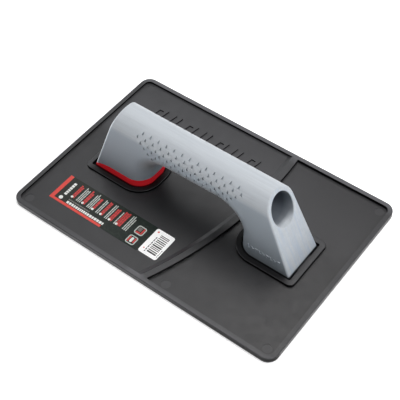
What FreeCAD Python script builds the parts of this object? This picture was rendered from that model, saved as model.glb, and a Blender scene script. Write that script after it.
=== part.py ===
"""Plastic finishing float: a ribbed rectangular blade with a clip-on moulded handle.

Units are millimetres. The origin is the centre of the working face, +Z up, +X towards the
open end of the grip, +Y across the blade. The handle's rear foot carries a sliding latch.
"""
import FreeCAD, Part
import math
import os

V = FreeCAD.Vector
os.makedirs("parts", exist_ok=True)

# Blade: one flat moulding with a raised rim.
BLADE_LENGTH = 270.3
BLADE_WIDTH = 184.5
BLADE_CORNER_R = 9.5
RIM_TOP = 5.5
RIM_W = 4.2
REAR_FLOOR_Z = 3.2
FRONT_FLOOR_Z = 2.5
FLOOR_FILLET = 0.3

# The curved step between the rear and the front floor.
STEP_R = 372.0
STEP_CENTRE = V(-332.2, 55.0, 0)
STEP_BAND_W = 5.2
STEP_SLOPE_W = 4.5

# Moulding details of the floors.
EJECTOR_R = 4.0
EJECTOR_DEPTH = 0.2
RELIEF_COUNT = 7
RELIEF_PITCH = 17.2
RELIEF_START = (-104.0, 51.0)
RELIEF_H = 1.1

# Sockets: a raised collar around a pocket for each foot of the handle.
POCKET_Z = 2.6
COLLAR_TOP = 5.3
COLLAR_OFFSET = 6.0
COLLAR_EDGE_R = 0.8
POCKET_GAP = 1.4
POCKET_END_GAP = {1: 1.2, -1: 2.2}

# Handle.
TOP_Z = 73.8
GRIP_R = 16.8
FOOT_Z = 2.65
FOOT_HALF_W = 20.7
FOOT_END_X = 103.0
FOOT_TOE_X = {1: 49.5, -1: 48.2}
FOOT_CORNER_R = 16.0
FRONT_TOP_X = 72.0
REAR_TOP_X = -77.8
ARCH_REAR_Z = 38.4
ARCH_FRONT_Z = 41.0
ARCH_R = 23.0
EDGE_R = 1.5

# Bore through the grip from the front face.
BORE_R = 12.6
BORE_Z = 56.5
BORE_END_X = -70.0
BORE_FLARE_X = 60.0
MOUTH_X = 92.0
MOUTH_Z = 55.0
MOUTH_HALF_W = 12.9
MOUTH_HALF_H = 15.0
MOUTH_EDGE_R = 0.7

# Finger marks: rows of small triangular pits down each side of the grip.
PIT_PITCH = 8.0
PIT_CENTRE_X = -1.6
PIT_ROWS = ((13, 12.6), (14, 16.9), (13, 21.1), (12, 24.9), (11, 28.7), (10, 32.5))
PIT_WIDTH = 2.0
PIT_HEIGHT = 3.2
PIT_DEPTH = 1.2

# Row of small raised brackets low on the front foot's flank.
BRACKET_COUNT = 9
BRACKET_PITCH = 3.6
BRACKET_START = (61.5, 14.0)
BRACKET_SIZE = (2.4, 3.2)
BRACKET_STROKE = 0.8
BRACKET_H = 0.5

# Latch: a flush band around the rear foot, pushed back to free its tongue.
LATCH_BOTTOM = 3.2
LATCH_TOP = 11.4
LATCH_TAPER_X = -80.5
LATCH_TAPER_R = 46.0
LATCH_TRAVEL = 1.6
SLIDE_GAP = 0.3
TONGUE_REACH = 2.9
TONGUE_Z = (2.9, 3.5)
TONGUE_HALF_W = 9.0
FRONT_TONGUE_GRIP = 1.3

# Core of the rear foot, inside the latch.
CORE_HALF_W = 14.2
CORE_TOE_X = -57.5
CORE_WALL = 2.7
CAVITY_TOP = 34.0
BOSS_R = 3.6
SCREW_X = (-91.0, -68.0)

# Latch spring, lying along X between the core and the latch.
SPRING_Z = 7.4
SPRING_R = 2.1
SPRING_WIRE_R = 0.25
SPRING_SEAT_R = 2.6
SPRING_SEAT = (-59.5, -51.6)
SPRING_TURNS = 6

# Retaining plate and its screws.
PLATE_Z = (2.75, 4.2)
PLATE_HALF_W = 17.4
PLATE_X = (-98.5, -60.0)
SCREW_R = 1.5
SCREW_TOP = 13.0
SCREW_HEAD_R = 2.9

# Adhesive labels on the rear floor.
LABEL_T = 0.15
LABEL_X = (-111.5, -14.0)
LABEL_Y = (-70.8, -42.0)
STICKER_X = (-13.8, 5.0)
STICKER_Y = (-69.7, -42.4)


def flat(z):
    """Place a plan point on the level z."""
    return lambda p: V(p.x, p.y, z)


def side_on(p):
    """Place a profile point (x, z) in the mid plane y = 0."""
    return V(p.x, 0, p.y)


def rounded_wire(corners, place):
    """Closed wire through corners (a, b, radius), each rounded by a tangent arc."""
    joins = []
    for i, (a, b, radius) in enumerate(corners):
        tip = V(a, b, 0)
        back = V(corners[i - 1][0], corners[i - 1][1], 0) - tip
        ahead = V(corners[(i + 1) % len(corners)][0], corners[(i + 1) % len(corners)][1], 0) - tip
        back.normalize()
        ahead.normalize()
        half = back.getAngle(ahead) / 2
        middle = (back + ahead).normalize()
        set_back = radius / math.tan(half)
        joins.append((tip + back * set_back, tip + middle * (radius / math.sin(half) - radius),
                      tip + ahead * set_back, radius))
    edges = []
    for i, (start, middle, end, radius) in enumerate(joins):
        if radius > 0:
            edges.append(Part.Arc(place(start), place(middle), place(end)).toShape())
        following = joins[(i + 1) % len(joins)][0]
        if following.distanceToPoint(end) > 1e-6:
            edges.append(Part.makeLine(place(end), place(following)))
    return Part.Wire(edges)


def prism(corners, z0, z1):
    """Upright solid over a rounded plan outline."""
    return Part.Face(rounded_wire(corners, flat(z0))).extrude(V(0, 0, z1 - z0))


def box(x_range, y_range, z_range):
    """Axis-aligned block from three (low, high) pairs."""
    size = [high - low for low, high in (x_range, y_range, z_range)]
    return Part.makeBox(*size, V(x_range[0], y_range[0], z_range[0]))


def blade_outline(inset):
    """Corners of the blade's plan, moved in by inset."""
    x = BLADE_LENGTH / 2 - inset
    y = BLADE_WIDTH / 2 - inset
    radius = BLADE_CORNER_R - inset
    return [(x, y, radius), (-x, y, radius), (-x, -y, radius), (x, -y, radius)]


def foot_outline(side, grow=0.0, end_grow=None, end_r=1.0):
    """Corners of a foot's D-shaped plan; side is +1 for the front foot, -1 for the rear."""
    end = side * (FOOT_END_X + (grow if end_grow is None else end_grow))
    toe = side * (FOOT_TOE_X[side] - grow)
    half = FOOT_HALF_W + grow
    toe_r = FOOT_CORNER_R + grow
    return [(end, half, end_r), (end, -half, end_r), (toe, -half, toe_r), (toe, half, toe_r)]


def edges_where(shape, test):
    """Edges whose ends and middle all pass the test."""
    found = []
    for edge in shape.Edges:
        first, last = edge.ParameterRange
        points = [edge.valueAt(first + (last - first) * t) for t in (0.02, 0.5, 0.98)]
        if all(test(p) for p in points):
            found.append(edge)
    return found


def at_level(z, tolerance=0.01):
    """Test for points on the level z."""
    return lambda p: abs(p.z - z) < tolerance


# ---- blade ---------------------------------------------------------------------------------

def step_disc(radius, z0, z1, top_radius=None):
    """Round block about the step's centre, for cutting the two floors."""
    at = V(STEP_CENTRE.x, STEP_CENTRE.y, z0)
    if top_radius is None:
        return Part.makeCylinder(radius, z1 - z0, at)
    return Part.makeCone(radius, top_radius, z1 - z0, at)


def floor_recess(level, rear):
    """Space over one floor: walls square, the bottom edge filleted."""
    space = prism(blade_outline(RIM_W), level, RIM_TOP)
    if rear:
        foot_of_slope = STEP_R - STEP_BAND_W - STEP_SLOPE_W
        space = space.common(step_disc(foot_of_slope, level, RIM_TOP, STEP_R - STEP_BAND_W))
    else:
        space = space.cut(step_disc(STEP_R, level - 1, RIM_TOP + 1))
    space = space.makeFillet(FLOOR_FILLET, edges_where(space, at_level(level)))
    return space


def collar(side):
    """Raised ring around a foot's pocket, its outer edge rounded."""
    floor = FRONT_FLOOR_Z if side > 0 else REAR_FLOOR_Z
    outline = foot_outline(side, COLLAR_OFFSET, end_r=5.0)
    ring = prism(outline, floor - 0.5, COLLAR_TOP)
    return ring.makeFillet(COLLAR_EDGE_R, edges_where(ring, at_level(COLLAR_TOP)))


def pocket(side):
    """Socket space for one foot, with its own clearance at the foot's end."""
    return prism(foot_outline(side, POCKET_GAP, POCKET_END_GAP[side], end_r=1.2), POCKET_Z, COLLAR_TOP)


def relief_mark(x, y, index):
    """One raised mark of the decorative row: a slanted frame or a pair of bars in turn."""
    height = 17.5
    lean = 3.0
    stroke = 3.2
    top = REAR_FLOOR_Z + RELIEF_H

    def bar(left, right, low=0.0, high=height):
        corners = [(x + left + lean * low / height, y + low, 0.6),
                   (x + right + lean * low / height, y + low, 0.6),
                   (x + right + lean * high / height, y + high, 0.6),
                   (x + left + lean * high / height, y + high, 0.6)]
        return prism(corners, REAR_FLOOR_Z - 0.3, top)

    if index % 2:
        return bar(0, stroke).fuse(bar(6.5, 6.5 + stroke))
    return bar(0, 11.0).cut(bar(stroke, 11.0 - stroke, stroke, height - stroke))


def relief_row():
    """Row of raised marks along the rear floor's far side."""
    x, y = RELIEF_START
    marks = [relief_mark(x + RELIEF_PITCH * i, y, i) for i in range(RELIEF_COUNT)]
    return marks[0].multiFuse(marks[1:])


def ejector_marks():
    """Shallow round witness marks near the corners of both floors and by the step."""
    places = [V(-123.5, y, REAR_FLOOR_Z) for y in (-82.0, 82.0)]
    places += [V(x, y, FRONT_FLOOR_Z) for x, y in ((26.0, -82.0), (124.5, -82.0), (124.5, 82.0))]
    down = V(0, 0, EJECTOR_DEPTH)
    return [Part.makeCylinder(EJECTOR_R, RIM_TOP, place - down) for place in places]


def tongue_slots():
    """Undercuts in the collars that hold the handle's two tongues."""
    z_range = (POCKET_Z, TONGUE_Z[1] + SLIDE_GAP)
    half = TONGUE_HALF_W + SLIDE_GAP * 2
    toe = -FOOT_TOE_X[-1]
    end_wall = FOOT_END_X + POCKET_END_GAP[1]
    rear = box((toe, toe + TONGUE_REACH + 0.4), (-half, half), z_range)
    front = box((end_wall - 1, end_wall + FRONT_TONGUE_GRIP + 0.4), (-half, half), z_range)
    return [rear, front]


def blade():
    """The moulded blade: flat below; rim, two floors, step, collars and pockets above."""
    plate = prism(blade_outline(0), 0, RIM_TOP)
    plate = plate.makeFillet(0.8, edges_where(plate, at_level(RIM_TOP)))
    plate = plate.makeFillet(0.4, edges_where(plate, at_level(0)))
    plate = plate.cut([floor_recess(REAR_FLOOR_Z, True), floor_recess(FRONT_FLOOR_Z, False)])
    plate = plate.multiFuse([collar(1), collar(-1), relief_row()])
    plate = plate.cut([pocket(1), pocket(-1)] + tongue_slots() + ejector_marks())
    return plate.removeSplitter()


# ---- handle --------------------------------------------------------------------------------

def end_profile():
    """Face in the plane x = 0: straight flanks up to a round top."""
    centre_z = TOP_Z - GRIP_R
    rise = centre_z - FOOT_Z
    reach = math.hypot(FOOT_HALF_W, rise)
    swing = math.atan2(rise, FOOT_HALF_W) - math.acos(GRIP_R / reach)
    touch = V(0, GRIP_R * math.cos(swing), centre_z - GRIP_R * math.sin(swing))
    mirror = V(0, -touch.y, touch.z)
    foot = V(0, FOOT_HALF_W, FOOT_Z)
    other = V(0, -FOOT_HALF_W, FOOT_Z)
    edges = [Part.makeLine(other, foot), Part.makeLine(foot, touch),
             Part.Arc(touch, V(0, 0, TOP_Z), mirror).toShape(), Part.makeLine(mirror, other)]
    return Part.Face(Part.Wire(edges)), touch


def end_face_x(z, side):
    """Where the front (+1) or rear (-1) sloping end face stands at height z."""
    top_x = FRONT_TOP_X if side > 0 else REAR_TOP_X
    bottom_x = side * FOOT_END_X
    return bottom_x + (top_x - bottom_x) * (z - FOOT_Z) / (TOP_Z - FOOT_Z)


def handle_blank():
    """Outer form of the handle with both feet, before anything is cut into it."""
    corners = [(FOOT_END_X, FOOT_Z, 0), (FRONT_TOP_X, TOP_Z, 0), (REAR_TOP_X, TOP_Z, 0),
               (-FOOT_END_X, FOOT_Z, 0), (-FOOT_TOE_X[-1], FOOT_Z, 0),
               (-FOOT_TOE_X[-1], ARCH_REAR_Z, ARCH_R), (FOOT_TOE_X[1], ARCH_FRONT_Z, ARCH_R),
               (FOOT_TOE_X[1], FOOT_Z, 0)]
    half = FOOT_HALF_W + 1
    side = Part.Face(rounded_wire(corners, side_on))
    side.translate(V(0, half, 0))
    block = side.extrude(V(0, -2 * half, 0))
    section, _ = end_profile()
    section.translate(V(-FOOT_END_X - 1, 0, 0))
    blank = block.common(section.extrude(V(2 * FOOT_END_X + 2, 0, 0)))

    def on_arch(p):
        above_foot = p.z > FOOT_Z + 0.1
        inner = -FOOT_TOE_X[-1] - 0.01 < p.x < FOOT_TOE_X[1] + 0.01
        return above_foot and inner and p.z < BORE_Z and abs(p.y) > 5

    blank = blank.makeFillet(FOOT_CORNER_R, edges_where(blank, on_arch))

    def on_end_face(p):
        gap = min(abs(p.x - end_face_x(p.z, side)) for side in (1, -1))
        return gap < 0.02 and p.z > FOOT_Z + 0.01

    return blank.makeFillet(EDGE_R, edges_where(blank, on_end_face))


def bore():
    """Round blind hole along the grip, easing out to a taller oval mouth."""
    length = BORE_FLARE_X - BORE_END_X
    barrel = Part.makeCylinder(BORE_R, length, V(BORE_END_X, 0, BORE_Z), V(1, 0, 0))
    inner = Part.Circle(V(BORE_FLARE_X, 0, BORE_Z), V(-1, 0, 0), BORE_R)
    inner.XAxis = V(0, 0, 1)
    outer = Part.Ellipse(V(MOUTH_X, 0, MOUTH_Z + MOUTH_HALF_H),
                         V(MOUTH_X, MOUTH_HALF_W, MOUTH_Z), V(MOUTH_X, 0, MOUTH_Z))
    rings = [Part.Wire(inner.toShape()), Part.Wire(outer.toShape())]
    return barrel.fuse(Part.makeLoft(rings, True, True))


def bored(blank):
    """Handle with the bore cut and its mouth rounded over."""
    def on_mouth(p):
        inside = abs(p.y) < MOUTH_HALF_W + 1 and abs(p.z - MOUTH_Z) < MOUTH_HALF_H + 1
        return inside and abs(p.x - end_face_x(p.z, 1)) < 0.02

    shell = blank.cut(bore())
    return shell.makeFillet(MOUTH_EDGE_R, edges_where(shell, on_mouth))


def foot_cavity(low_outline, high_outline, top):
    """Tapered space cored out of a foot from below."""
    low = rounded_wire(low_outline, flat(FOOT_Z - 1))
    high = rounded_wire(high_outline, flat(top))
    return Part.makeLoft([low, high], True, True)


def front_cavity():
    """Core of the front foot, with a web left across the middle."""
    low = [(99.5, 17, 1), (99.5, -17, 1), (52, -17, 12), (52, 17, 12)]
    high = [(84, 12, 1), (84, -12, 1), (58, -12, 8), (58, 12, 8)]
    web = box((40, 110), (-1.2, 1.2), (FOOT_Z, CAVITY_TOP + 1))
    return foot_cavity(low, high, CAVITY_TOP).cut(web)


def rear_cavity():
    """Core of the rear foot: inside the latch, with a web and two screw bosses left in it."""
    wide = CORE_HALF_W - CORE_WALL
    x_toe = CORE_TOE_X - 3.5
    low = [(-99.2, wide, 1), (-99.2, -wide, 1), (x_toe, -wide, 1), (x_toe, wide, 1)]
    high = [(-88, wide - 1, 1), (-88, 1 - wide, 1), (x_toe, 1 - wide, 1), (x_toe, wide - 1, 1)]
    web = box((-105, -50), (-1.2, 1.2), (PLATE_Z[1], CAVITY_TOP + 1))
    bosses = [Part.makeCylinder(BOSS_R, CAVITY_TOP, V(x, 0, PLATE_Z[1])) for x in SCREW_X]
    return foot_cavity(low, high, CAVITY_TOP).cut([web] + bosses)


def latch_profile(shift=0.0, lift=0.0):
    """Side outline of the latch band, moved by shift along X and raised by lift."""
    top = LATCH_TOP + lift
    start = V(LATCH_TAPER_X + shift, 0, top)
    centre = start - V(0, 0, LATCH_TAPER_R)

    def on_arc(run):
        return centre + V(-run, 0, math.sqrt(LATCH_TAPER_R ** 2 - run ** 2))

    end = on_arc(26.0)
    toe = V(-40, 0, top)
    low = FOOT_Z - 1 if lift else LATCH_BOTTOM
    corner = V(toe.x, 0, low)
    heel = V(end.x, 0, low)
    edges = [Part.makeLine(heel, corner), Part.makeLine(corner, toe), Part.makeLine(toe, start),
             Part.Arc(start, on_arc(13.0), end).toShape(), Part.makeLine(end, heel)]
    face = Part.Face(Part.Wire(edges))
    face.translate(V(0, -30, 0))
    return face.extrude(V(0, 60, 0))


def core_block(grow=0.0, toe_grow=0.0):
    """Block that fills the space inside the latch, where the foot's core stands."""
    half = CORE_HALF_W + grow
    corners = [(CORE_TOE_X + toe_grow, half, 1.0), (-110, half, 0.5), (-110, -half, 0.5),
               (CORE_TOE_X + toe_grow, -half, 1.0)]
    return prism(corners, -1, 20)


def latch_space():
    """Room cut out of the rear foot for the latch over its whole travel."""
    room = latch_profile(0, SLIDE_GAP).fuse(latch_profile(-LATCH_TRAVEL, SLIDE_GAP))
    return room.cut(core_block())


def section_point(s):
    """Point and outward normal on the grip's section, s along it from the crown, -Y side."""
    _, touch = end_profile()
    turn = math.atan2(touch.y, touch.z - (TOP_Z - GRIP_R))
    arc = GRIP_R * turn
    angle = min(s, arc) / GRIP_R
    normal = V(0, -math.sin(angle), math.cos(angle))
    point = V(0, 0, TOP_Z - GRIP_R) + normal * GRIP_R
    down = V(0, normal.z, -normal.y) * -1
    return point + down * max(0.0, s - arc), normal, down


def pit(x, s):
    """Three-sided straight-walled pit, its point towards the crown."""
    point, normal, down = section_point(s)
    lid = 0.5
    at = point + V(x, 0, 0) + normal * lid
    low = at + down * (PIT_HEIGHT * 0.45)
    half = V(PIT_WIDTH / 2, 0, 0)
    corners = [at - down * (PIT_HEIGHT * 0.55), low + half, low - half]
    outline = Part.Face(Part.makePolygon(corners + corners[:1]))
    return outline.extrude(normal * -(PIT_DEPTH + lid))


def pits():
    """All the finger marks, on both sides of the grip."""
    cutters = []
    for count, s in PIT_ROWS:
        for i in range(count):
            one = pit(PIT_CENTRE_X + PIT_PITCH * (i - (count - 1) / 2), s)
            cutters.append(one)
            cutters.append(one.mirror(V(0, 0, 0), V(0, 1, 0)))
    return cutters


def foot_brackets():
    """Row of small raised brackets on the front foot's flank, open sides turned about."""
    slope = (FOOT_HALF_W - GRIP_R) / (TOP_Z - GRIP_R - FOOT_Z)
    wide, tall = BRACKET_SIZE
    brackets = []
    for i in range(BRACKET_COUNT):
        x = BRACKET_START[0] + BRACKET_PITCH * i
        z = BRACKET_START[1]
        high = tall + 0.8 if i == 0 else tall
        surface = -(FOOT_HALF_W - slope * (z + high / 2 - FOOT_Z))
        depth = (surface - BRACKET_H, surface + 1.0)
        post = box((x, x + BRACKET_STROKE), depth, (z, z + high))
        arm_z = z + (high - BRACKET_STROKE) * (i % 3) / 2
        arm = box((x, x + wide), depth, (arm_z, arm_z + BRACKET_STROKE))
        brackets.append(post.fuse(arm))
    return brackets


def front_tongue():
    """Fixed tongue under the front foot's end, held by the collar."""
    return box((FOOT_END_X - 4, FOOT_END_X + POCKET_END_GAP[1] + FRONT_TONGUE_GRIP),
               (-TONGUE_HALF_W, TONGUE_HALF_W), TONGUE_Z)


def handle_shell(blank):
    """The moulded handle with bore, cored feet, latch room and finger marks."""
    shell = bored(blank).cut([front_cavity(), rear_cavity(), latch_space()])
    retainer_room = box((PLATE_X[0] - 0.2, CORE_TOE_X + 5), (-19, 19), (FOOT_Z - 1, PLATE_Z[1]))
    pilots = [Part.makeCylinder(SCREW_R + 0.05, SCREW_TOP + 1, V(x, 0, 0)) for x in SCREW_X]
    seat_length = CORE_TOE_X - SPRING_SEAT[0] + 1
    seat = Part.makeCylinder(SPRING_SEAT_R, seat_length, V(SPRING_SEAT[0], 0, SPRING_Z), V(1, 0, 0))
    shell = shell.cut([retainer_room, seat] + pilots)
    shell = shell.multiFuse([front_tongue()] + foot_brackets())
    return shell.cut(pits())


# ---- latch ---------------------------------------------------------------------------------

def release_latch(blank):
    """Flush band around the rear foot: two arms, a toe and the tongue under the collar."""
    band = blank.common(latch_profile())
    opening = core_block(SLIDE_GAP, LATCH_TRAVEL + SLIDE_GAP + 0.1)
    relief = box((-110, PLATE_X[1] + LATCH_TRAVEL + 0.5),
                 (-PLATE_HALF_W - 0.5, PLATE_HALF_W + 0.5), (0, PLATE_Z[1] + SLIDE_GAP))
    toe_x = -FOOT_TOE_X[-1]
    tongue = box((toe_x - 4.0, toe_x + TONGUE_REACH), (-TONGUE_HALF_W, TONGUE_HALF_W), TONGUE_Z)
    seat_length = SPRING_SEAT[1] - CORE_TOE_X
    seat = Part.makeCylinder(SPRING_SEAT_R, seat_length, V(CORE_TOE_X, 0, SPRING_Z), V(1, 0, 0))
    return band.cut([opening, relief]).fuse(tongue).cut(seat).removeSplitter()


def latch_spring():
    """Compression spring between the core's seat and the latch's seat."""
    length = SPRING_SEAT[1] - SPRING_SEAT[0] - 2 * SPRING_WIRE_R - 0.1
    helix = Part.makeHelix(length / SPRING_TURNS, length, SPRING_R)
    start = helix.Edges[0].valueAt(helix.Edges[0].ParameterRange[0])
    ring = Part.Wire([Part.makeCircle(SPRING_WIRE_R, start, V(0, 1, 0))])
    coil = Part.Wire(helix.Edges).makePipeShell([ring], True, True)
    coil.rotate(V(0, 0, 0), V(0, 1, 0), 90)
    coil.translate(V(SPRING_SEAT[0] + SPRING_WIRE_R + 0.05, 0, SPRING_Z))
    return coil


def countersink(x, grow=0.0):
    """Conical seat for a screw head, from the retaining plate's underside."""
    head = SCREW_HEAD_R + grow
    shank = SCREW_R + grow
    return Part.makeCone(head, shank, head - shank, V(x, 0, PLATE_Z[0]))


def latch_retainer():
    """Thin plate screwed under the core; its flanges carry the latch's arms."""
    corners = [(PLATE_X[1], PLATE_HALF_W, 3), (PLATE_X[0], PLATE_HALF_W, 1),
               (PLATE_X[0], -PLATE_HALF_W, 1), (PLATE_X[1], -PLATE_HALF_W, 3)]
    plate = prism(corners, *PLATE_Z)
    for x in SCREW_X:
        hole = Part.makeCylinder(SCREW_R + 0.1, 10, V(x, 0, 0))
        plate = plate.cut([hole, countersink(x, 0.1)])
    return plate


def retainer_screws():
    """Two countersunk screws up into the core's bosses."""
    screws = []
    for x in SCREW_X:
        shank = Part.makeCylinder(SCREW_R, SCREW_TOP - PLATE_Z[0] - 1, V(x, 0, PLATE_Z[0] + 1))
        screw = shank.fuse(countersink(x))
        for turn in (0, 90):
            slot = box((-1.6, 1.6), (-0.35, 0.35), (PLATE_Z[0] - 1, PLATE_Z[0] + 0.9))
            slot.rotate(V(0, 0, 0), V(0, 0, 1), turn)
            slot.translate(V(x, 0, 0))
            screw = screw.cut(slot)
        screws.append(screw)
    return Part.makeCompound(screws)


# ---- labels --------------------------------------------------------------------------------

def label(x_range, y_range, radius):
    """Thin adhesive label lying on the rear floor."""
    corners = [(x_range[1], y_range[1], radius), (x_range[0], y_range[1], radius),
               (x_range[0], y_range[0], radius), (x_range[1], y_range[0], radius)]
    return prism(corners, REAR_FLOOR_Z, REAR_FLOOR_Z + LABEL_T)


def build():
    """Every sub-part, by node name."""
    blank = handle_blank()
    return {
        "blade": blade(),
        "handle_shell": handle_shell(blank),
        "release_latch": release_latch(blank),
        "latch_spring": latch_spring(),
        "latch_retainer": latch_retainer(),
        "retainer_screws": retainer_screws(),
        "product_label": label(LABEL_X, LABEL_Y, 0.5),
        "barcode_sticker": label(STICKER_X, STICKER_Y, 2.0),
    }


for name, shape in build().items():
    shape.exportStep(f"parts/{name}.step")
    print(f"{name}: {len(shape.Solids)} solid(s), valid {shape.isValid()}, {shape.Volume:.0f} mm3")
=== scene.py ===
"""Looks of the clip-on-handle finishing float: plastics, printed labels, light, floor and camera."""
import math
import random

import bmesh
import bpy
from mathutils import Matrix, Vector


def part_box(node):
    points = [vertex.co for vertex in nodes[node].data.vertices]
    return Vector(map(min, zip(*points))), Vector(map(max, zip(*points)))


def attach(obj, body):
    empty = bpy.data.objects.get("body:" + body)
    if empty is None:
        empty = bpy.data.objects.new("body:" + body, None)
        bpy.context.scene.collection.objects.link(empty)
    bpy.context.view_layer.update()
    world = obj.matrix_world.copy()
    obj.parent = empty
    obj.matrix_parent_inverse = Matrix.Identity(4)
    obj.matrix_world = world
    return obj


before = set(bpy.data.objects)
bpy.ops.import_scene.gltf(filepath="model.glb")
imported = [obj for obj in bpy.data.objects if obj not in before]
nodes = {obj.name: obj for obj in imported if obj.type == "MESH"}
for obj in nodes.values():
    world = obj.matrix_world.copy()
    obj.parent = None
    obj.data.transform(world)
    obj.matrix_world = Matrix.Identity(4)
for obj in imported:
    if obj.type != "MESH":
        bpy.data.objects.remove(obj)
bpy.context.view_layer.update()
MM = 0.001
BLADE_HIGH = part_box("blade")[1]
rng = random.Random(7)


# ---- colour and materials ------------------------------------------------------------------

def linear(r, g, b):
    """Linear colour of an sRGB triple from 0 to 255."""
    def one(v):
        v /= 255
        return v / 12.92 if v <= 0.04045 else ((v + 0.055) / 1.055) ** 2.4
    return (one(r), one(g), one(b), 1.0)


def shade(colour, factor):
    """The colour made lighter or darker by a factor."""
    return tuple(min(1.0, c * factor) for c in colour[:3]) + (1.0,)


def tint(colour, factors):
    """The colour with its red, green and blue each scaled."""
    return tuple(c * f for c, f in zip(colour, factors)) + (1.0,)


class Graph:
    """Small helper around one material's node tree."""

    def __init__(self, name):
        self.material = bpy.data.materials.new(name)
        self.material.use_nodes = True
        self.tree = self.material.node_tree
        self.tree.nodes.clear()
        self.coords = self.node("ShaderNodeTexCoord").outputs["Object"]

    def node(self, kind, **settings):
        made = self.tree.nodes.new(kind)
        for key, value in settings.items():
            setattr(made, key, value)
        return made

    def feed(self, socket, value):
        """Link a socket to the input, or set the input to a fixed value."""
        if isinstance(value, bpy.types.NodeSocket):
            self.tree.links.new(value, socket)
        else:
            socket.default_value = value

    def split(self, vector):
        """The X, Y and Z of a vector socket."""
        part = self.node("ShaderNodeSeparateXYZ")
        self.feed(part.inputs["Vector"], vector)
        return part.outputs["X"], part.outputs["Y"], part.outputs["Z"]

    def place(self):
        """Where the point lies on the object, in metres."""
        return self.split(self.coords)

    def facing(self, kind="Normal"):
        """Which way the surface faces; kind "True Normal" leaves out the smoothing."""
        return self.split(self.node("ShaderNodeNewGeometry").outputs[kind])

    def noise(self, scale, detail=2.0, rough=0.5, stretch=(1, 1, 1)):
        """Noise in the object's own space; scale is in features per metre."""
        place = self.node("ShaderNodeMapping")
        self.feed(place.inputs["Scale"], stretch)
        self.feed(place.inputs["Vector"], self.coords)
        made = self.node("ShaderNodeTexNoise")
        for key, value in (("Scale", scale), ("Detail", detail), ("Roughness", rough),
                           ("Vector", place.outputs["Vector"])):
            self.feed(made.inputs[key], value)
        return made.outputs["Fac"]

    def remap(self, value, low, high, to_low, to_high):
        """A value ramped from low..high to to_low..to_high and held at both ends."""
        made = self.node("ShaderNodeMapRange")
        for key, number in (("From Min", low), ("From Max", high),
                            ("To Min", to_low), ("To Max", to_high), ("Value", value)):
            self.feed(made.inputs[key], number)
        return made.outputs["Result"]

    def mottle(self, scale, detail=2.0, rough=0.5, stretch=(1, 1, 1), span=(0.3, 0.7), to=(0, 1)):
        """Noise ramped from its span to a range: soft patches of a mask or a roughness."""
        return self.remap(self.noise(scale, detail, rough, stretch), *span, *to)

    def mix(self, factor, a, b):
        """Blend of two colours, each a fixed colour or a socket."""
        made = self.node("ShaderNodeMix", data_type="RGBA")
        self.feed(made.inputs["Factor"], factor)
        for key, value in (("A", a), ("B", b)):
            self.feed([s for s in made.inputs if s.name == key and s.type == "RGBA"][0], value)
        return [s for s in made.outputs if s.type == "RGBA"][0]

    def math(self, operation, *values):
        made = self.node("ShaderNodeMath", operation=operation)
        for i, value in enumerate(values):
            self.feed(made.inputs[i], value)
        return made.outputs["Value"]

    def product(self, first, *others):
        """Product of masks."""
        for other in others:
            first = self.math("MULTIPLY", first, other)
        return first

    def at_level(self, height, level):
        """Mask of the surfaces that lie on one level, in metres."""
        return self.math("COMPARE", height, level, 0.06 * MM)

    def bump(self, height, distance, strength):
        made = self.node("ShaderNodeBump")
        for key, value in (("Distance", distance), ("Strength", strength), ("Height", height)):
            self.feed(made.inputs[key], value)
        return made.outputs["Normal"]

    def shader(self, colour, roughness, normal=None, **others):
        """Finish the material; others name the shader's inputs with _ for each space."""
        made = self.node("ShaderNodeBsdfPrincipled")
        self.feed(made.inputs["Base Color"], colour)
        self.feed(made.inputs["Roughness"], roughness)
        if normal is not None:
            self.feed(made.inputs["Normal"], normal)
        for key, value in others.items():
            self.feed(made.inputs[key.replace("_", " ")], value)
        out = self.node("ShaderNodeOutputMaterial")
        self.feed(out.inputs["Surface"], made.outputs["BSDF"])
        return self.material


# ---- blade ---------------------------------------------------------------------------------

BLADE_RGB = (39, 39, 41)
BLADE_CORNER = 9.5 * MM
EJECTOR_LEVELS = (3.0 * MM, 2.3 * MM)
CREST_LEVEL = 5.3 * MM
SOCKET_LEVEL = 2.6 * MM
STEP_X = 15.0 * MM
STEP_REACH = 28.0 * MM
# Painted highlight on the rim; the first factor also gives the ejector marks their paler tone.
RIM_HIGHLIGHT_AND_PALE_MARKS, NEAR_RIM_HIGHLIGHT, FAR_RIM_HIGHLIGHT = 1.9, 4.2, 5.2
# Painted light on the far part of the floor.
FAR_FLOOR_PAINTED_LIGHT = 2.3
# Painted highlight on the step's slope.
SLOPE_HIGHLIGHT = 2.6
# Painted shade on walls, skirt, socket crests and socket floors.
PAINTED_SHADE = 0.15


def blade_inset(g, across, along):
    """Distance in metres from the blade's rounded outline, measured inwards."""
    past_x = g.math("SUBTRACT", along, BLADE_HIGH.x - BLADE_CORNER)
    past_y = g.math("SUBTRACT", across, BLADE_HIGH.y - BLADE_CORNER)
    diagonal = g.math("ADD", g.math("POWER", g.math("MAXIMUM", past_x, 0.0), 2.0),
                      g.math("POWER", g.math("MAXIMUM", past_y, 0.0), 2.0))
    straight = g.math("MINIMUM", g.math("MAXIMUM", past_x, past_y), 0.0)
    past = g.math("ADD", g.math("SQRT", diagonal), straight)
    return g.math("SUBTRACT", BLADE_CORNER, past)


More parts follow.
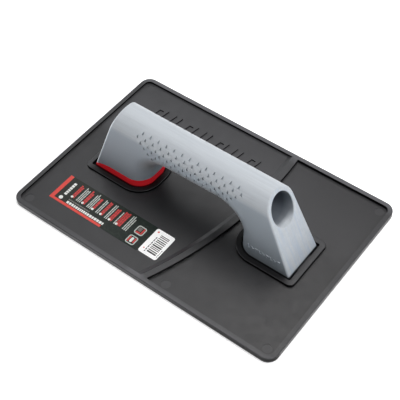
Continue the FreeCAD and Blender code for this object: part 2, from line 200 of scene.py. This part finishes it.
def rim_colour(g, base, x, y, inset):
    """Rim colour with painted highlight: palest along the far side and at one spot of the near side,
    lighter along the middle of the near side.
    """
    far = g.remap(y, 80 * MM, 89 * MM, 0, 1)
    near = g.product(g.remap(y, -88.5 * MM, -86 * MM, 1, 0),
                     g.remap(x, -85 * MM, -45 * MM, 0.15, 1),
                     g.remap(x, 60 * MM, 130 * MM, 1, 0.55),
                     g.remap(inset, 0.8 * MM, 4.2 * MM, 1, 0.25))
    spot = g.product(g.remap(y, -87.5 * MM, -86 * MM, 1, 0),
                     g.remap(g.math("ABSOLUTE", x), 4 * MM, 10 * MM, 1, 0))
    colour = g.mix(near, shade(base, RIM_HIGHLIGHT_AND_PALE_MARKS), shade(base, NEAR_RIM_HIGHLIGHT))
    return g.mix(g.math("MAXIMUM", far, spot), colour, shade(base, FAR_RIM_HIGHLIGHT))


def painted_shade_mask(g, x, y, z, across, along, inset):
    """Mask of painted shade: inner walls, the near skirt's middle, socket crests and floors."""
    true_z = g.facing("True Normal")[2]
    upright = g.remap(g.math("ABSOLUTE", true_z), 0.3, 0.7, 1, 0)
    inner = g.product(upright, g.math("GREATER_THAN", inset, 0.75 * MM))
    skirt = g.product(g.math("LESS_THAN", inset, 0.3 * MM),
                      g.remap(z, 1.0 * MM, 2.0 * MM, 0, 1), g.remap(z, 4.4 * MM, 5.0 * MM, 1, 0),
                      g.math("LESS_THAN", y, -80 * MM), g.remap(x, -20 * MM, 80 * MM, 0.1, 1))
    crest = g.product(g.at_level(z, CREST_LEVEL), g.remap(along, 99 * MM, 107 * MM, 0.7, 0),
                      g.remap(y, 18 * MM, 22 * MM, 1, 0))
    socket = g.product(g.at_level(z, SOCKET_LEVEL), 0.85)
    walls = g.product(g.math("MAXIMUM", inner, skirt), 0.9)
    return g.math("MAXIMUM", walls, g.math("ADD", crest, socket))


def blade_plastic():
    """Dark grained moulding: ejector marks paler; painted highlight on the rim and the step's slope,
    painted light on the far floor, painted shade on walls and sockets.
    """
    g = Graph("blade_plastic")
    base = linear(*BLADE_RGB)
    x, y, z = g.place()
    across, along = g.math("ABSOLUTE", y), g.math("ABSOLUTE", x)
    inset = blade_inset(g, across, along)

    colour = g.mix(g.mottle(28, 4, 0.6), shade(base, 0.98), shade(base, 1.02))
    speck = g.mottle(900, span=(0.35, 0.65), to=(0, 0.3))
    colour = g.mix(speck, colour, shade(base, 1.25))
    # Painted light: the floor lighter towards the far side, less so near the far rim and at the front.
    far_floor = g.product(g.remap(y, 12 * MM, 30 * MM, 0, 1), g.remap(y, 45 * MM, 85 * MM, 1, 0.45),
                          g.remap(x, 20 * MM, 70 * MM, 1, 0.35))
    colour = g.mix(far_floor, colour, shade(base, FAR_FLOOR_PAINTED_LIGHT))

    off_step = g.math("ABSOLUTE", g.math("SUBTRACT", x, STEP_X))
    by_step = g.product(g.math("GREATER_THAN", inset, 4.5 * MM),
                        g.math("LESS_THAN", off_step, STEP_REACH))
    # The rim's painted highlight, held back beside the step.
    rim_highlight_held_back = g.product(by_step, g.remap(across, 30 * MM, 72 * MM, 1, 0.1))
    on_rim = g.product(g.remap(z, 4.9 * MM, 5.3 * MM, 0, 1), g.math("SUBTRACT", 1.0, rim_highlight_held_back), 0.9)
    colour = g.mix(on_rim, colour, rim_colour(g, base, x, y, inset))
    marks = g.math("ADD", *[g.at_level(z, level) for level in EJECTOR_LEVELS])
    colour = g.mix(g.product(marks, 0.8), colour, shade(base, RIM_HIGHLIGHT_AND_PALE_MARKS))
    # Painted highlight on the near part of the step's slope.
    slope_highlight = g.product(by_step, g.remap(y, -80 * MM, -25 * MM, 0.8, 0),
                      g.remap(z, 3.22 * MM, 3.3 * MM, 0, 1), g.remap(z, 4.8 * MM, 5.2 * MM, 1, 0))
    colour = g.mix(slope_highlight, colour, shade(base, SLOPE_HIGHLIGHT))

    # Painted shade on walls, the near skirt, socket crests and socket floors; the specular level drops
    # with it.
    dark = painted_shade_mask(g, x, y, z, across, along, inset)
    colour = g.mix(dark, colour, shade(base, PAINTED_SHADE))
    grain = g.bump(g.noise(2600, 2, 0.6), 0.04 * MM, 0.35)
    sheen = g.remap(dark, 0, 0.85, 0.5, 0.08)
    return g.shader(colour, g.mottle(140, 3, to=(0.34, 0.44)), grain, Specular_IOR_Level=sheen)


# ---- handle --------------------------------------------------------------------------------

HANDLE_RGB = (202, 208, 214)
# Painted shade: bluish darker tints for the side faces and the end faces.
FLANK_SHADE = (0.79, 0.845, 0.895)
END_SHADE = (0.76, 0.85, 0.97)
BORE_AXIS_Z = 56.0 * MM
BORE_SQUASH = 0.9
BORE_END_X = -70.5 * MM
MOUTH_X = 79.8 * MM
END_FACE_LEAN = 0.437


def bore_shade_mask(g, x, y, z):
    """Mask of painted shade on the bore's wall, growing with depth behind the sloping front face."""
    rise = g.math("SUBTRACT", z, BORE_AXIS_Z)
    squashed = g.math("MULTIPLY", rise, BORE_SQUASH)
    off = g.math("SQRT", g.math("ADD", g.math("POWER", y, 2.0), g.math("POWER", squashed, 2.0)))
    near_axis = g.remap(off, 13.0 * MM, 13.4 * MM, 1, 0)
    face = g.math("ADD", x, g.math("MULTIPLY", rise, END_FACE_LEAN))
    depth = g.math("SUBTRACT", MOUTH_X, face)
    shallow = g.remap(depth, 0.6 * MM, 1.0 * MM, 0, 0.58)
    deep = g.product(g.remap(depth, 2.5 * MM, 10.5 * MM, 0, 0.34),
                     g.remap(rise, -11.5 * MM, -5.5 * MM, 0.80, 1))
    return g.product(near_axis, g.math("GREATER_THAN", x, BORE_END_X), g.math("ADD", shallow, deep))


def handle_plastic():
    """Pale satin moulding: flow lines along the grip; painted shade on the flanks, end faces, bore,
    undersides and the foot in its socket; a glowing painted highlight on the rear edges.
    """
    g = Graph("handle_plastic")
    base = linear(*HANDLE_RGB)
    x, y, z = g.place()
    face_x, face_y, face_z = g.facing()

    colour = g.mix(g.mottle(260, 3, 0.6, (0.06, 1, 1)), shade(base, 0.93), shade(base, 1.03))
    thread = g.mottle(760, 2, 0.5, (0.03, 1, 1), span=(0.55, 0.72), to=(0, 0.6))
    colour = g.mix(thread, colour, shade(base, 0.86))
    # Painted shade on the side faces, bluish.
    flank_shade = g.remap(g.math("ABSOLUTE", face_z), 0.12, 0.34, 0.9, 0)
    colour = g.mix(flank_shade, colour, tint(base, FLANK_SHADE))
    speck = g.mottle(1200, span=(0.35, 0.65), to=(0, 0.25))
    colour = g.mix(speck, colour, shade(base, 0.9))
    # Painted shade on the end faces, bluish, in faint streaks.
    on_ends = g.remap(g.math("ABSOLUTE", face_x), 0.70, 0.85, 0, 1)
    drawn = g.mottle(420, 2, 0.5, (0.08, 1, 0.08), span=(0.42, 0.66), to=(0, 0.55))
    colour = g.mix(g.product(on_ends, drawn), colour, tint(base, END_SHADE))

    # Painted shade inside the bore.
    colour = g.mix(bore_shade_mask(g, x, y, z), colour, linear(58, 66, 78))
    # Painted shade on the foot's lower part, down in its socket.
    colour = g.mix(g.remap(z, 4.4 * MM, 5.6 * MM, 1, 0), colour, linear(24, 26, 30))
    # Painted shade on the surfaces that face downwards.
    underside_shade = g.remap(face_z, -0.02, -0.45, 0, 0.6)
    colour = g.mix(underside_shade, colour, shade(base, 0.35))

    # Painted highlight: a faint glow along the rounded rear edges.
    corner = g.math("ABSOLUTE", g.product(face_x, face_y))
    painted_glow = g.product(g.remap(corner, 0.08, 0.30, 0, 0.30), g.math("LESS_THAN", x, -70 * MM),
                     g.remap(z, 6.0 * MM, 7.0 * MM, 0, 1))
    grain = g.bump(g.noise(3200, 2, 0.6), 0.04 * MM, 0.4)
    return g.shader(colour, g.mottle(90, 3, to=(0.36, 0.48)), grain, Specular_IOR_Level=0.33,
                    Emission_Color=(0.9, 0.95, 1, 1), Emission_Strength=painted_glow)


# ---- the other materials -------------------------------------------------------------------

def latch_plastic():
    """Red moulding with a slight sheen: painted shade where it enters its socket, a painted glow
    above.
    """
    g = Graph("latch_plastic")
    base = linear(255, 34, 46)
    colour = g.mix(g.mottle(60, 3), shade(base, 0.94), shade(base, 1.06))
    # Painted shade low down in the socket; above it the red glows as painted light.
    low = g.remap(g.place()[2], 4.2 * MM, 6.0 * MM, 1, 0)
    colour = g.mix(low, colour, linear(60, 8, 12))
    grain = g.bump(g.noise(2600, 2), 0.04 * MM, 0.35)
    painted_glow = g.remap(low, 0, 1, 0.13, 0)
    return g.shader(colour, g.mottle(160, 3, to=(0.3, 0.42)), grain, Specular_IOR_Level=0.3,
                    Emission_Color=(1, 0.035, 0.05, 1), Emission_Strength=painted_glow)


def plain_plastic(name, rgb, rough_range):
    """Unseen moulded part: slight clouding and grain."""
    g = Graph(name)
    base = linear(*rgb)
    colour = g.mix(g.mottle(70, 3), shade(base, 0.88), shade(base, 1.08))
    grain = g.bump(g.noise(2600, 2), 0.05 * MM, 0.4)
    return g.shader(colour, g.mottle(180, 3, to=rough_range), grain)


def steel(name, value, rough_range):
    """Zinc or drawn wire: fine lines and slight dulling."""
    g = Graph(name)
    base = linear(value, value, value + 3)
    colour = g.mix(g.mottle(400, 4), shade(base, 0.8), base)
    rough = g.mottle(1500, 3, 0.6, (1, 8, 8), to=rough_range)
    lines = g.bump(g.noise(2500, 2, 0.5, (1, 12, 12)), 0.03 * MM, 0.4)
    return g.shader(colour, rough, lines, Metallic=1.0)


def label_film():
    """Printed film: dark green, greyer towards its rear end, under a soft gloss."""
    g = Graph("label_film")
    along = g.remap(g.place()[0], -111 * MM, -30 * MM, 0, 1)
    colour = g.mix(along, linear(34, 37, 30), linear(3, 22, 14))
    dust = g.mottle(500, 3, span=(0.45, 0.75), to=(0, 0.25))
    colour = g.mix(dust, colour, linear(56, 62, 56))
    ripple = g.bump(g.noise(160, 2), 0.08 * MM, 0.25)
    return g.shader(colour, g.mottle(120, 2, to=(0.32, 0.42)), ripple, Specular_IOR_Level=0.28)


def ink(name, rgb, other, gloss=0.4, painted_glow=0.0):
    """Printed colour with the slight unevenness of screen ink; glow is painted light that makes paper
    brighter.
    """
    g = Graph(name)
    colour = g.mix(g.mottle(700, 3, span=(0.35, 0.65)), linear(*rgb), linear(*other))
    rough = g.mottle(300, to=(gloss - 0.05, gloss + 0.08))
    film = g.bump(g.noise(900, 2), 0.03 * MM, 0.3)
    return g.shader(colour, rough, film, Emission_Color=(1, 1, 1, 1), Emission_Strength=painted_glow)


def dress(node, material, sharp=28):
    """Give a CAD node its material and smooth shading below the sharp angle in degrees."""
    mesh = nodes[node].data
    mesh.materials.clear()
    mesh.materials.append(material)
    mesh.polygons.foreach_set("use_smooth", [True] * len(mesh.polygons))
    mesh.set_sharp_from_angle(angle=math.radians(sharp))


dress("blade", blade_plastic())
dress("handle_shell", handle_plastic(), 18)
dress("release_latch", latch_plastic())
dress("latch_spring", steel("spring_wire", 178, (0.22, 0.38)))
dress("latch_retainer", plain_plastic("retainer_plastic", (88, 88, 92), (0.45, 0.6)))
dress("retainer_screws", steel("zinc_plate", 196, (0.25, 0.42)))
dress("product_label", label_film())
# The sticker paper glows faintly: painted light.
dress("barcode_sticker", ink("sticker_paper", (246, 246, 244), (238, 238, 238), 0.5, 0.16))


# ---- printed art, in millimetres -----------------------------------------------------------

INK_T = 0.035 * MM
INK_SINK = 0.005 * MM


def add_object(name, data):
    """Make an object from its data and put it in the scene."""
    made = bpy.data.objects.new(name, data)
    bpy.context.scene.collection.objects.link(made)
    return made


def rounded(x0, x1, y0, y1, radius=0.0, steps=4):
    """Outline of a rectangle with rounded corners."""
    if radius <= 0:
        return [(x0, y0), (x1, y0), (x1, y1), (x0, y1)]
    outline = []
    for cx, cy, start in ((x1 - radius, y0 + radius, -90), (x1 - radius, y1 - radius, 0),
                          (x0 + radius, y1 - radius, 90), (x0 + radius, y0 + radius, 180)):
        for i in range(steps + 1):
            a = math.radians(start + 90 * i / steps)
            outline.append((cx + radius * math.cos(a), cy + radius * math.sin(a)))
    return outline


def square(cx, cy, half, radius, steps):
    """Outline of a rounded square about a centre."""
    return rounded(cx - half, cx + half, cy - half, cy + half, radius, steps)


def disc(x, y, radius, steps=20):
    return [(x + radius * math.cos(2 * math.pi * i / steps),
             y + radius * math.sin(2 * math.pi * i / steps)) for i in range(steps)]


def layer(bm, outline, level):
    """The outline's vertices at one level in metres."""
    return [bm.verts.new((x * MM, y * MM, level)) for x, y in outline]


def band(bm, first, second):
    """Faces between two closed rows of vertices, from the first row to the second."""
    for i in range(len(first)):
        j = (i + 1) % len(first)
        bm.faces.new((first[i], first[j], second[j], second[i]))


def printed(name, paper_top, shapes, material, rings=()):
    """Thin printed shapes on a label: filled outlines, and pairs of outlines as frames."""
    low, high = paper_top - INK_SINK, paper_top - INK_SINK + INK_T
    bm = bmesh.new()
    for outline in shapes:
        bottom, top = layer(bm, outline, low), layer(bm, outline, high)
        bm.faces.new(top)
        bm.faces.new(bottom[::-1])
        band(bm, bottom, top)
    for outer, inner in rings:
        low_out, low_in = layer(bm, outer, low), layer(bm, inner, low)
        high_out, high_in = layer(bm, outer, high), layer(bm, inner, high)
        band(bm, high_out, high_in)
        band(bm, high_in, low_in)
        band(bm, low_in, low_out)
        band(bm, low_out, high_out)
    mesh = bpy.data.meshes.new(name)
    bm.to_mesh(mesh)
    bm.free()
    mesh.materials.append(material)
    made = add_object(name, mesh)
    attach(made, "float")


def words(start, end, height, line, along, shortest=0.9, longest=2.6, gap=0.45):
    """A row of blocks that stands for a line of print, along x or y."""
    shapes = []
    at = start
    while at < end - shortest:
        length = min(rng.uniform(shortest, longest), end - at)
        if along == "x":
            shapes.append(rounded(at, at + length, line, line + height))
        else:
            shapes.append(rounded(line, line + height, at, at + length))
        at += length + gap
    return shapes


label_low, label_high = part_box("product_label")
sticker_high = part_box("barcode_sticker")[1]
X0, Y0, Y1 = label_low.x / MM, label_low.y / MM, label_high.y / MM

# Corner stripe: along the rear end and part of the near edge.
MARGIN = 0.05
STRIPE_END_W, STRIPE_EDGE_W, STRIPE_REACH = 3.8, 2.5, 57.0
stripe = [rounded(X0 + MARGIN, X0 + STRIPE_END_W, Y0 + MARGIN, Y1 - MARGIN),
          rounded(X0 + STRIPE_END_W, X0 + STRIPE_REACH, Y0 + MARGIN, Y0 + STRIPE_EDGE_W)]
printed("label_stripe", label_high.z, stripe, ink("stripe_red", (222, 66, 54), (212, 58, 48)))

# Columns of print: a red heading, a white dot at its foot and pale lines beside it.
# Each column gives its left side, the heading's width and the number of pale lines.
COLUMNS = ((-94.9, 3.6, 3), (-83.1, 3.6, 3), (-71.9, 2.6, 2), (-62.7, 3.2, 2), (-53.1, 3.8, 1),
           (-45.3, 5.6, 3))
LINE_PITCH = 1.75
red_shapes, pale_shapes, white_shapes = [], [], []
for x, width, lines in COLUMNS:
    rows = max(1, round(width / LINE_PITCH))
    for row in range(rows):
        left = x - 0.8 + row * width / rows
        top = Y1 - rng.uniform(2.2, 5.0)
        foot = Y0 + (12.2 if row == 0 else 10.6)
        red_shapes += words(foot, top, width / rows - 0.3, left, "y", 1.4, 3.4, 0.3)
    white_shapes.append(disc(x, Y0 + 11.3, 1.25))
    for i in range(lines):
        left = x + width + 1.5 + LINE_PITCH * i
        pale_shapes += words(Y0 + 10.0, Y1 - rng.uniform(1.6, 4.5), 0.95, left, "y", 1.2, 4.5, 0.3)

# Name blocks by the stripe and the line of large print along the near edge.
white_shapes += words(Y0 + 9.4, Y0 + 25.6, 2.7, -102.9, "y", 1.5, 2.3, 0.5)
white_shapes += words(-94.8, -53.8, 2.5, Y0 + 3.1, "x", 1.3, 2.4, 0.55)
white_shapes.append(disc(-102.4, Y0 + 5.2, 1.9))
dim_shapes = words(-95.2, -70.5, 1.3, Y0 + 6.7, "x", 1.0, 2.6, 0.4)

# Two small framed signs near the sticker, filled with plain blocks.
SIGN_X, SIGN_YS = -24.0, (-64.7, -53.2)
SIGN_HALF, SIGN_RIM = 4.45, 0.9
sign_rings = [(square(SIGN_X, cy, SIGN_HALF, 2.0, 5), square(SIGN_X, cy, SIGN_HALF - SIGN_RIM, 1.2, 5))
              for cy in SIGN_YS]
white_shapes.append(rounded(-25.2, -22.9, -67.2, -62.0, 0.9))
red_shapes += [rounded(-27.4, -25.9, -67.6, -62.0, 0.3), rounded(-22.2, -20.8, -66.8, -61.6, 0.3),
               rounded(-22.4, -20.9, -56.4, -50.0, 0.3), rounded(-27.0, -22.8, -56.6, -55.0, 0.3)]
dim_shapes.append(rounded(-27.0, -23.2, -54.2, -50.2, 0.5))

for name, shapes, ink_rgb, other_rgb, rings in (
        ("red", red_shapes, (205, 52, 50), (188, 42, 42), ()),
        ("white", white_shapes, (238, 240, 236), (224, 226, 222), ()),
        ("pale", pale_shapes, (196, 202, 196), (182, 188, 182), sign_rings),
        ("dim", dim_shapes, (112, 108, 102), (98, 96, 92), ())):
    printed(f"label_{name}_print", label_high.z, shapes,
            ink(f"print_{name}", ink_rgb, other_rgb), rings)

# Sticker: a block of bars, two rows of small print and two faint marks.
BARS_Y = (-66.2, -46.6)
BARS_X = (-7.0, 2.1)
bars = []
y = BARS_Y[0]
while y < BARS_Y[1]:
    width = rng.choice((0.8, 1.0, 1.5))
    bars.append(rounded(*BARS_X, y, y + width))
    y += width + rng.choice((0.7, 0.8, 1.1))
small = words(-67.4, -49.5, 1.1, -9.1, "y", 0.9, 2.4, 0.7)
small += words(-66.5, -58.0, 0.7, 3.3, "y", 0.8, 1.6, 0.6)
marks = [disc(-10.8, -45.4, 1.0), disc(-10.9, -64.6, 0.7)]
for name, shapes, ink_name, ink_rgb, other_rgb in (
        ("sticker_bars", bars, "bar_black", (24, 20, 26), (34, 30, 36)),
        ("sticker_small_print", small, "small_grey", (92, 88, 94), (108, 104, 110)),
        ("sticker_red_marks", marks, "mark_red", (214, 120, 112), (224, 140, 132))):
    printed(name, sticker_high.z, shapes, ink(ink_name, ink_rgb, other_rgb))


# ---- floor, light, camera ------------------------------------------------------------------

FLOOR_SIZE = 4.0
FLOOR_GAP = 0.3 * MM
FLOOR_GLOW = 0.52


def floor():
    """Plain pale paper just under the blade, faintly lit so that shadows stay soft."""
    g = Graph("floor_paper")
    colour = g.mix(g.mottle(6, 3), (0.93, 0.93, 0.93, 1), (0.95, 0.95, 0.95, 1))
    paper = g.shader(colour, 0.9, Specular_IOR_Level=0.1, Emission_Color=(1, 1, 1, 1),
                     Emission_Strength=FLOOR_GLOW)
    mesh = bpy.data.meshes.new("floor")
    corners = [(x * FLOOR_SIZE, y * FLOOR_SIZE, 0) for x, y in ((-1, -1), (1, -1), (1, 1), (-1, 1))]
    mesh.from_pydata(corners, [], [(0, 1, 2, 3)])
    mesh.materials.append(paper)
    made = add_object("floor", mesh)
    made.location.z = -FLOOR_GAP


# Soft panels around the object: azimuth from +X, elevation, and power in watts.
PANEL_DISTANCE = 1.6
PANEL_SIZE = 0.8
PANELS = ((45, 22, 2.3), (150, 10, 2.5), (180, 22, 5.5), (0, 50, 8.7), (45, 50, 1.5), (135, 50, 3.2),
          (225, 50, 1.4), (0, 70, 3.9), (90, 70, 6.4), (180, 70, 2.5))
HIGH_PANEL = 60
WARM = (1.0, 0.975, 0.955)
COOL = (0.985, 1.0, 1.02)


def panels():
    """Square area lights aimed at the origin: warm overhead, cool at the sides."""
    for azimuth, elevation, power in PANELS:
        a, e = math.radians(azimuth), math.radians(elevation)
        towards = Vector((math.cos(a) * math.cos(e), math.sin(a) * math.cos(e), math.sin(e)))
        data = bpy.data.lights.new(f"panel_{azimuth}_{elevation}", "AREA")
        data.shape = "RECTANGLE"
        data.size = data.size_y = PANEL_SIZE
        data.energy = power
        data.color = WARM if elevation > HIGH_PANEL else COOL
        made = add_object(data.name, data)
        made.location = towards * PANEL_DISTANCE
        made.rotation_euler = (-towards).to_track_quat("-Z", "Y").to_euler()


def dark_world():
    """No light from the surroundings: the panels and the floor do it all."""
    made = bpy.data.worlds.new("studio")
    made.use_nodes = True
    ground = made.node_tree.nodes["Background"]
    ground.inputs["Color"].default_value = (1, 1, 1, 1)
    ground.inputs["Strength"].default_value = 0.0
    bpy.context.scene.world = made


# Where the camera stands around the origin, in degrees and metres; PAN slides its frame.
AZIMUTH, ELEVATION, ROLL = 39.08, 50.91, -2.13
DISTANCE = 0.82733
PAN = (0.002005, -0.005495)
LENS = 87.48
SENSOR = 36.0


def camera():
    """Camera that looks at the origin from AZIMUTH and ELEVATION, turned by ROLL about its axis."""
    az, el, roll = (math.radians(v) for v in (AZIMUTH, ELEVATION, ROLL))
    back = Vector((math.sin(az) * math.cos(el), -math.cos(az) * math.cos(el), math.sin(el)))
    level = Vector((math.cos(az), math.sin(az), 0))
    raised = back.cross(level)
    right = level * math.cos(roll) + raised * math.sin(roll)
    up = raised * math.cos(roll) - level * math.sin(roll)
    data = bpy.data.cameras.new("camera")
    data.lens = LENS
    data.sensor_width = SENSOR
    made = add_object("camera", data)
    turn = Matrix((right, up, back)).transposed().to_4x4()
    turn.translation = back * DISTANCE - right * PAN[0] - up * PAN[1]
    made.matrix_world = turn
    bpy.context.scene.camera = made


floor()
panels()
dark_world()
camera()
bpy.context.scene.view_settings.view_transform = "Standard"
